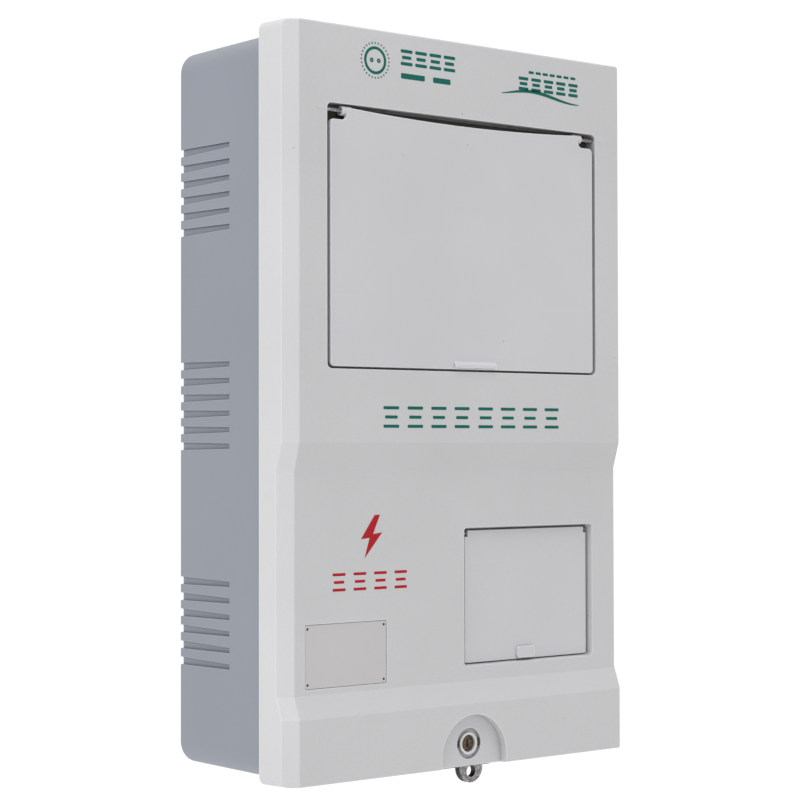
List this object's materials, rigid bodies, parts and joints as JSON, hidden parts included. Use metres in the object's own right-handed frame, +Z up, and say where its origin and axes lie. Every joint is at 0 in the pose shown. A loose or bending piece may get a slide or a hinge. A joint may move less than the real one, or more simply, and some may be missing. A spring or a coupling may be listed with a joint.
{
  "type": "electricity meter box",
  "caption": "Wall-hung plastic electricity meter box with a hinged cover, window flap, breaker flap, lock and padlock eyes, holding a smart meter and breaker.",
  "frame": {"origin": "centre of the four wall holes, on the case's rear face", "axes": "+Z up, +Y into the wall, +X to the right seen from the front"},
  "size_m": [0.2458, 0.1076, 0.4123],
  "materials": {
    "case_plastic": "moulded, fine satin texture",
    "cover_plastic": "moulded, fine satin texture",
    "flap_plastic": "moulded, fine satin texture",
    "clear_pane": "clear polycarbonate",
    "seal_rubber": "soft matt",
    "zinc_steel": "zinc plated, mottled",
    "steel_screw": "zinc plated",
    "lock_bronze": "dark bronze, worn",
    "sleeve_plastic": "moulded satin",
    "label_plate": "blank, satin",
    "board_plastic": "flat sheet, matt",
    "meter_plastic": "moulded satin",
    "meter_base_plastic": "moulded satin",
    "terminal_plastic": "moulded matt",
    "clear_cover": "clear polycarbonate",
    "lcd_glass": "grey-green display",
    "circuit_green": "solder-masked board",
    "relay_plastic": "moulded",
    "battery_sleeve": "shrink sleeve",
    "led_red": "clear red",
    "button_plastic": "moulded",
    "port_metal": "satin",
    "terminal_brass": "machined",
    "rail_steel": "zinc plated",
    "breaker_plastic": "moulded satin",
    "toggle_plastic": "moulded satin",
    "clip_plastic": "moulded",
    "wire_brown": "PVC insulation",
    "wire_blue": "PVC insulation"
  },
  "bodies": {
    "case": {"board_screws": "steel_screw", "bracket_screws": "steel_screw", "breaker_body": "breaker_plastic", "breaker_clip": "clip_plastic", "breaker_terminal_screws": "steel_screw", "button_switches": "relay_plastic", "cable_grommets": "seal_rubber", "circuit_board": "circuit_green", "circuit_screws": "steel_screw", "din_rail": "rail_steel", "earth_bar": "terminal_brass", "earth_bar_screws": "steel_screw", "earth_terminal_screws": "steel_screw", "eye_bracket": "zinc_steel", "hinge_pins": "zinc_steel", "lcd_frame": "terminal_plastic", "link_wire_live": "wire_brown", "link_wire_neutral": "wire_blue", "lock_catch": "zinc_steel", "meter_base": "meter_base_plastic", "meter_battery": "battery_sleeve", "meter_board": "board_plastic", "meter_cover": "meter_plastic", "meter_cover_screws": "steel_screw", "meter_lcd": "lcd_glass", "meter_leds": "led_red", "meter_lens": "clear_cover", "meter_relay": "relay_plastic", "meter_screws": "steel_screw", "meter_terminal_block": "terminal_plastic", "meter_terminal_cover": "clear_cover", "meter_terminal_screws": "terminal_brass", "meter_terminals": "terminal_brass", "optical_port": "port_metal", "rail_screws": "steel_screw", "rear_box": "case_plastic", "rim_seal": "seal_rubber", "terminal_cover_screws": "steel_screw"},
    "cover": {"front_cover": "cover_plastic", "window_pane": "clear_pane", "pane_seal": "seal_rubber", "pane_clips": "zinc_steel", "pane_screws": "steel_screw", "lock_sleeve": "sleeve_plastic", "lock_ring": "zinc_steel", "cover_eye": "zinc_steel", "eye_rivets": "steel_screw", "nameplate": "label_plate", "nameplate_pins": "seal_rubber"},
    "window_flap": {"window_flap": "flap_plastic", "window_flap_pins": "zinc_steel"},
    "breaker_flap": {"breaker_flap": "flap_plastic", "breaker_flap_pins": "zinc_steel"},
    "lock": {"lock_core": "lock_bronze", "lock_bar": "zinc_steel"},
    "breaker_toggle": {"breaker_toggle": "toggle_plastic"},
    "meter_button_upper": {"meter_button_upper": "button_plastic"},
    "meter_button_lower": {"meter_button_lower": "button_plastic"}
  },
  "joints": [
    {"name": "cover_swing", "type": "hinge", "parent": "case", "child": "cover", "pos_m": [0, -0.077, 0.1998], "axis": [-1, 0, 0], "range_deg": [0, 110]},
    {"name": "window_flap_swing", "type": "hinge", "parent": "cover", "child": "window_flap", "pos_m": [0, -0.1033, 0.1544], "axis": [-1, 0, 0], "range_deg": [0, 90]},
    {"name": "breaker_flap_swing", "type": "hinge", "parent": "cover", "child": "breaker_flap", "pos_m": [0.0492, -0.0972, -0.072], "axis": [-1, 0, 0], "range_deg": [0, 90]},
    {"name": "lock_turn", "type": "hinge", "parent": "cover", "child": "lock", "pos_m": [0.0038, -0.095, -0.188], "axis": [0, 1, 0], "range_deg": [0, 90]},
    {"name": "breaker_toggle_swing", "type": "hinge", "parent": "case", "child": "breaker_toggle", "pos_m": [0.049, -0.088, -0.107], "axis": [1, 0, 0], "range_deg": [0, 70]},
    {"name": "meter_button_upper_press", "type": "slide", "parent": "case", "child": "meter_button_upper", "axis": [0, 1, 0], "range_m": [0, 0.0012], "stiffness_N_per_m": 200},
    {"name": "meter_button_lower_press", "type": "slide", "parent": "case", "child": "meter_button_lower", "axis": [0, 1, 0], "range_m": [0, 0.0012], "stiffness_N_per_m": 200}
  ]
}
